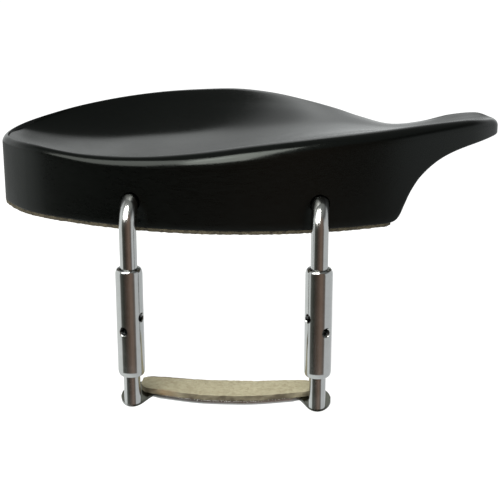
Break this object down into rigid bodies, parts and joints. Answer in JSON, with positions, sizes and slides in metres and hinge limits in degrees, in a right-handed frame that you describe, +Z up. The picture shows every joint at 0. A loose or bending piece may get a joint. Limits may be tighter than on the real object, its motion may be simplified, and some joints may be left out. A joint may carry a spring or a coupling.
{
  "type": "violin chin rest",
  "caption": "Side-mounted violin chin rest: a dished black wood plate with a wing over the tailpiece, on a chromed clamp with barrel nuts and corked jaws.",
  "frame": {"origin": "on the underside of the plate's cork, midway between the two posts and about 9 mm behind the front of the clamp edge", "axes": "+X along the clamp towards the wing, +Y from the player towards the bridge, +Z up, away from the violin's top"},
  "size_m": [0.1208, 0.0741, 0.065],
  "materials": {
    "black_wood": "satin, polished ebony",
    "chrome": "polished chrome plate",
    "cork": "matte sheet cork"
  },
  "bodies": {
    "plate": {"chin_plate": "black_wood", "plate_cork": "cork", "left_hook_post": "chrome", "right_hook_post": "chrome"},
    "foot": {"foot_bracket": "chrome", "bracket_cork": "cork", "left_stud": "chrome", "right_stud": "chrome"},
    "left_barrel": {"left_barrel": "chrome"},
    "right_barrel": {"right_barrel": "chrome"}
  },
  "joints": [
    {"name": "clamp_slide", "type": "slide", "parent": "plate", "child": "foot", "axis": [0, 0, 1], "range_m": [-0.006, 0.0055]},
    {"name": "left_barrel_turn", "type": "hinge", "parent": "plate", "child": "left_barrel", "pos_m": [-0.0218, -0.011, -0.0209], "axis": [0, 0, 1], "range_deg": [-1543, 1415]},
    {"name": "right_barrel_turn", "type": "hinge", "parent": "plate", "child": "right_barrel", "pos_m": [0.0218, -0.011, -0.0201], "axis": [0, 0, 1], "range_deg": [-1543, 1415]}
  ],
  "couplings": [
    {"joint": "left_barrel_turn", "follows": "clamp_slide", "rad_per_m": 4488},
    {"joint": "right_barrel_turn", "follows": "clamp_slide", "rad_per_m": 4488}
  ]
}
